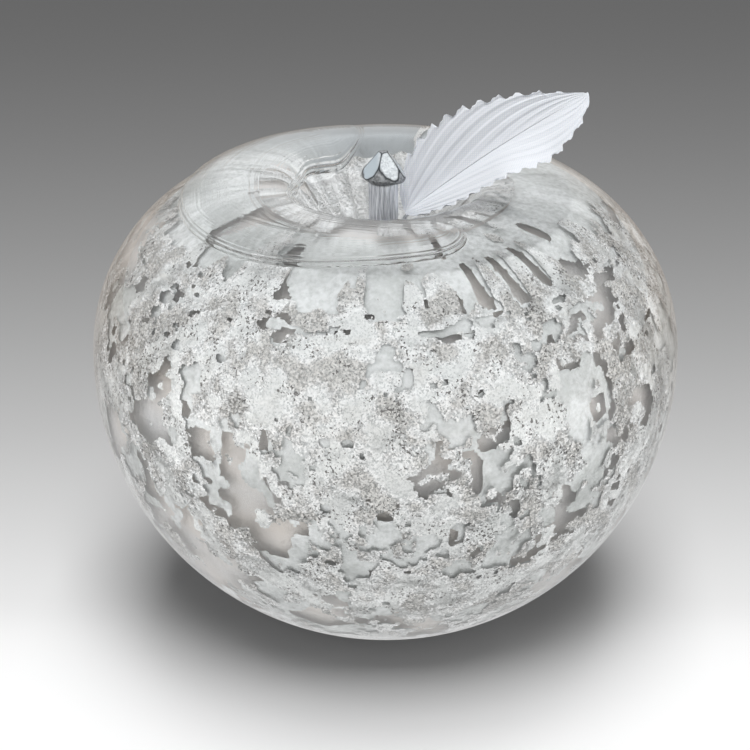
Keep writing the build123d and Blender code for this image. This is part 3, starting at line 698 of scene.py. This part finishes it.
def leaf_half_side(share, across, side):
    """Points of one half of the leaf at a share of its length and a share of its width from the midrib: along
    the arched midrib, then out at that side's angle, lifted by pleats that leave the midrib at a slant."""
    rise = math.radians(LEAF_RISE)
    along, arch = LEAF_LENGTH * share, LEAF_ARCH * np.sin(np.pi * share)
    middle = np.stack([LEAF_ROOT[0] + along * math.cos(rise) - arch * math.sin(rise),
                       LEAF_ROOT[1] + 0 * along,
                       LEAF_ROOT[2] + along * math.sin(rise) + arch * math.cos(rise)], -1)
    half_width, powers = LEAF_BACK if side > 0 else LEAF_FRONT
    least = LEAST_WIDTH - LEAST_FALL * share
    width = edge_width(share, half_width, powers, least)
    teeth = TEETH[0] if side > 0 else TEETH[1]
    big = (share * teeth) % 1
    small = (share * teeth * SMALL_TEETH) % 1
    slope = np.clip(1 - big / TOOTH_SLOPE, 0, 1) ** TOOTH_HOLLOW
    notch = np.where(big < TOOTH_SLOPE, slope, (big - TOOTH_SLOPE) / TOOTH_STEP)
    notch = notch * TOOTH_DEPTH + np.abs(small - 0.5) * SMALL_DEPTH
    notch = notch * np.clip(share / TOOTH_GROWTH, 0, 1) * np.clip(width / TOOTH_WIDTH, 0, 1)
    lay = np.clip((share - LEAF_TURN[0]) / (LEAF_TURN[1] - LEAF_TURN[0]), 0, 1)
    lay = lay * lay * (3 - 2 * lay)
    steep, flat = LEAF_FRONT_ANGLES
    angle = LEAF_BACK_ANGLE if side > 0 else steep + (flat - steep) * lay
    turn = np.radians(angle) + 0 * share
    out_way = side * np.stack([-math.sin(rise) * np.cos(turn), np.sin(turn), math.cos(rise) * np.cos(turn)], -1)
    turn = turn - np.pi / 2
    up_way = np.stack([-math.sin(rise) * np.cos(turn), np.sin(turn), math.cos(rise) * np.cos(turn)], -1)
    phase = share - PLEAT_SLANT * across ** PLEAT_BEND
    pleat = sum(lift * np.cos(2 * np.pi * count * phase + start) for lift, count, start in PLEATS)
    pleat = pleat * np.clip(across / PLEAT_GROWTH, 0, 1) * np.clip(width / PLEAT_WIDTH, 0, 1)
    pleat = pleat + MIDRIB_RISE * np.exp(-(across * width / MIDRIB_HALF_WIDTH) ** 2)
    hem = np.clip((across - HEM_FROM) / HEM_WIDTH, 0, 1) ** 2
    reach = across * width - notch * hem
    return middle + out_way * reach[..., None] + up_way * pleat[..., None], reach


share, across = np.meshgrid(np.linspace(0, 1, LEAF_ROWS), np.linspace(0, 1, LEAF_HALF_COLUMNS), indexing="ij")
back, back_reach = leaf_half_side(share, across, 1)
front, front_reach = leaf_half_side(share, across, -1)
leaf_points = np.concatenate([back[:, :0:-1], front], 1)
leaf_reach = np.concatenate([back_reach[:, :0:-1], -front_reach], 1)
leaf_columns = leaf_points.shape[1]
leaf_quads = grid_faces(LEAF_ROWS, leaf_columns, closed=False)

# The share of the light that the satin lets through
SATIN_THROUGH = 0.1
satin, tree, out = new_material("stiffened_polyester_satin")
uv = node(tree, "ShaderNodeUVMap", uv_map="weave").outputs[0]
# The weft rows lie slanting off the midrib, on a map in mm; the wave node counts 20 radians to the unit
weft = node(tree, "ShaderNodeTexWave", {"Vector": uv, "Scale": 2 * math.pi / 20 / WEFT_PITCH, "Distortion": 0.8,
                                        "Detail": 1.0, "Detail Scale": 0.4}, bands_direction="X")
warp = node(tree, "ShaderNodeTexWave", {"Vector": uv, "Scale": 2 * math.pi / 20 / WARP_PITCH,
                                        "Distortion": 0.6}, bands_direction="Y")
weave = node(tree, "ShaderNodeMath", {0: weft.outputs["Fac"], 1: warp.outputs["Fac"]}, operation="MULTIPLY")
tone = mixed(tree, weave.outputs[0], linear("#EBEFF6"), linear("#FDFEFF"))
bump = node(tree, "ShaderNodeBump", {"Height": weave.outputs[0], "Distance": 0.03 * MM, "Strength": 0.6})
shader = node(tree, "ShaderNodeBsdfPrincipled", {
    "Base Color": tone, "Roughness": 0.5, "Sheen Weight": 0.4, "Sheen Roughness": 0.4,
    "Normal": bump.outputs[0]})
glow_through = node(tree, "ShaderNodeBsdfTranslucent", {"Color": tone})
shader = node(tree, "ShaderNodeMixShader", {
    0: SATIN_THROUGH, 1: shader.outputs[0], 2: glow_through.outputs[0]})
tree.links.new(shader.outputs[0], out.inputs["Surface"])
leaf = mesh_piece("satin_leaf", leaf_points.reshape(-1, 3), [leaf_quads], satin)
weave_map = leaf.data.uv_layers.new(name="weave")
corner = leaf_quads.ravel()
grain = math.radians(WEFT_SLANT)
along, beside = (share[:, :1] * LEAF_LENGTH + 0 * leaf_reach).ravel()[corner], leaf_reach.ravel()[corner]
uv_place = np.stack([along * math.cos(grain) - beside * math.sin(grain),
                     along * math.sin(grain) + beside * math.cos(grain)], -1)
weave_map.data.foreach_set("uv", uv_place.astype(np.float32).ravel())
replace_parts(leaf, "leaf_blade")


# Leaf wire: bright drawn steel, glued along the underside of the midrib and set in the socket's adhesive. It is
# the CAD's own node with a new material.
drawn, tree, out = new_material("drawn_steel_wire")
coords = node(tree, "ShaderNodeTexCoord").outputs["Object"]
draw = node(tree, "ShaderNodeMapping", {"Vector": coords, "Scale": (0.2, 1, 0.2)})
lines = noise(tree, draw.outputs[0], 0.1, 2.0)
rough = ranged(tree, lines, 0, 1, 0.2, 0.4)
shader = node(tree, "ShaderNodeBsdfPrincipled", {
    "Base Color": linear("#BFC1C5"), "Metallic": 1.0, "Roughness": rough})
tree.links.new(shader.outputs[0], out.inputs["Surface"])
wire_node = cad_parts["leaf_wire"]
wire_node.data.materials.clear()
wire_node.data.materials.append(drawn)


# The stage: a matt table top that runs from white in front to grey far behind, two large soft lights overhead,
# two small ones low at the sides, a light tent all round, and the camera where the photographer stood. Lengths
# from here on are in metres.
FLOOR_REACH, FLOOR_FOCUS = 6, (0.0, -0.30)
# Distance behind the focus in metres, and the linear grey of the table top there
FLOOR_TONES = ((0.0, 0.9), (0.22, 0.93), (0.255, 0.95), (0.295, 0.784), (0.332, 0.617), (0.375, 0.456),
               (0.424, 0.332), (0.483, 0.242), (0.553, 0.178), (0.639, 0.141), (1.2, 0.13))
paper, tree, out = new_material("matt_backdrop_paper")
coords = node(tree, "ShaderNodeTexCoord").outputs["Object"]
squeezed = node(tree, "ShaderNodeMapping", {"Vector": coords, "Scale": (0.2, 1, 1)})
from_focus = node(tree, "ShaderNodeVectorMath", {
    0: squeezed.outputs[0], 1: (*FLOOR_FOCUS, 0)}, operation="DISTANCE")
tones = node(tree, "ShaderNodeFloatCurve", {"Value": from_focus.outputs["Value"]})
tones.mapping.use_clip = False
for point in fill_curve(tones, FLOOR_TONES).points:
    point.handle_type = "AUTO_CLAMPED"
tones.mapping.update()
grey = node(tree, "ShaderNodeCombineColor", {0: tones.outputs[0], 1: tones.outputs[0], 2: tones.outputs[0]})
matt = node(tree, "ShaderNodeBsdfDiffuse", {"Color": grey.outputs[0]})
far = ranged(tree, from_focus.outputs["Value"], 0.33, 0.46)
through = mixed(tree, far, grey.outputs[0], linear("#A89E95"))
# The table goes on to white screens at both sides, which only the glass and, less, the foil and metal see
SCREEN_IN_FOIL = 0.6
aside = node(tree, "ShaderNodeMath", {0: node(tree, "ShaderNodeSeparateXYZ", {0: coords}).outputs["X"]},
             operation="ABSOLUTE")
aside = ranged(tree, aside.outputs[0], 0.07, 0.30, 1.2, 2.6)
glow = node(tree, "ShaderNodeEmission", {"Color": through, "Strength": aside})
path = node(tree, "ShaderNodeLightPath")
seen = node(tree, "ShaderNodeMath", {
    0: path.outputs["Is Glossy Ray"], 1: SCREEN_IN_FOIL, 2: path.outputs["Is Transmission Ray"]},
    operation="MULTIPLY_ADD", use_clamp=True)
shader = node(tree, "ShaderNodeMixShader", {0: seen.outputs[0], 1: matt.outputs[0], 2: glow.outputs[0]})
tree.links.new(shader.outputs[0], out.inputs["Surface"])
floor_mesh = bpy.data.meshes.new("table_top")
floor_corners = [(x * FLOOR_REACH, y * FLOOR_REACH, 0) for x, y in ((-1, -1), (1, -1), (1, 1), (-1, 1))]
floor_mesh.from_pydata(floor_corners, [], [(0, 1, 2, 3)])
floor_mesh.materials.append(paper)
floor = bpy.data.objects.new("table_top", floor_mesh)
bpy.context.scene.collection.objects.link(floor)

world = bpy.data.worlds.new("light_tent")
bpy.context.scene.world = world
world.use_nodes = True
tree = world.node_tree
tree.nodes.clear()
out = node(tree, "ShaderNodeOutputWorld")
way = node(tree, "ShaderNodeSeparateXYZ", {0: node(tree, "ShaderNodeTexCoord").outputs["Generated"]})
tent = ranged(tree, way.outputs["Z"], -0.35, 0.35)
cloth = mixed(tree, tent, linear("#D8D3CE"), linear("#FDFEFF"))
# Behind the table the tent is open to the grey backdrop, low down
behind = ranged(tree, way.outputs["Y"], 0.5, 0.8)
low = ranged(tree, way.outputs["Z"], 0.42, 0.22)
gap = node(tree, "ShaderNodeMath", {0: behind, 1: low}, operation="MULTIPLY")
cloth = mixed(tree, gap.outputs[0], cloth, linear("#B4B2B0"))
# The tent is bright for the glass and the foil, dim for matt things, and the grey backdrop for the camera
TENT_BRIGHT, TENT_DIM, BACKDROP = 1.28, 0.13, (0.135, 0.135, 0.138, 1)
path = node(tree, "ShaderNodeLightPath")
fill = node(tree, "ShaderNodeMix", {
    0: path.outputs["Is Diffuse Ray"], 2: TENT_BRIGHT, 3: TENT_DIM}, data_type="FLOAT")
power = node(tree, "ShaderNodeMix", {
    0: path.outputs["Is Camera Ray"], 2: fill.outputs[0], 3: 1.0}, data_type="FLOAT")
tone = mixed(tree, path.outputs["Is Camera Ray"], cloth, BACKDROP)
shader = node(tree, "ShaderNodeBackground", {"Color": tone, "Strength": power.outputs[0]})
tree.links.new(shader.outputs[0], out.inputs["Surface"])

# Name, place, size and power in watts; all aim at the middle of the apple, and only matt surfaces see them
LAMP_AIM = (0, 0, 0.05)
for name, place, size, power in (
    ("front_softbox", (0.04, -0.48, 1.53), (0.72, 0.72), 12.4),
    ("overhead_softbox", (0.04, 0.22, 1.58), (0.70, 0.70), 11.4),
    ("left_softbox", (-0.62, -0.42, 0.45), (0.35, 0.5), 0.4),
    ("right_softbox", (0.66, -0.30, 0.42), (0.30, 0.5), 0.5),
):
    lamp = bpy.data.lights.new(name, "AREA")
    lamp.shape = "RECTANGLE"
    lamp.size, lamp.size_y = size
    lamp.energy = power
    holder = bpy.data.objects.new(name, lamp)
    holder.location = place
    aim = np.array(LAMP_AIM) - np.array(place)
    holder.rotation_euler = (math.atan2(math.hypot(aim[0], aim[1]), -aim[2]), 0, math.atan2(-aim[0], aim[1]))
    holder.visible_glossy = holder.visible_transmission = False
    bpy.context.scene.collection.objects.link(holder)

# Fitted to the photo's outline: degrees above the horizon, distance, height aimed at, lens and picture shift
CAMERA_RISE, CAMERA_DISTANCE, CAMERA_AIM = 26.0, 0.450, 0.040
CAMERA_LENS, CAMERA_SENSOR, CAMERA_SHIFT = 126.14, 36.0, (-0.014, 0.0118)
rise = math.radians(CAMERA_RISE)
camera = bpy.data.cameras.new("camera")
camera.lens, camera.sensor_width = CAMERA_LENS, CAMERA_SENSOR
camera.shift_x, camera.shift_y = CAMERA_SHIFT
eye = bpy.data.objects.new("camera", camera)
eye.location = (0, -CAMERA_DISTANCE * math.cos(rise), CAMERA_AIM + CAMERA_DISTANCE * math.sin(rise))
eye.rotation_euler = (math.pi / 2 - rise, 0, 0)
bpy.context.scene.collection.objects.link(eye)
bpy.context.scene.camera = eye

scene = bpy.context.scene
scene.view_settings.view_transform = "Standard"
scene.cycles.max_bounces = 28
scene.cycles.transmission_bounces = 22
scene.cycles.glossy_bounces = 12
scene.cycles.caustics_refractive = False
scene.cycles.use_denoising = True
scene.cycles.denoising_prefilter = "ACCURATE"
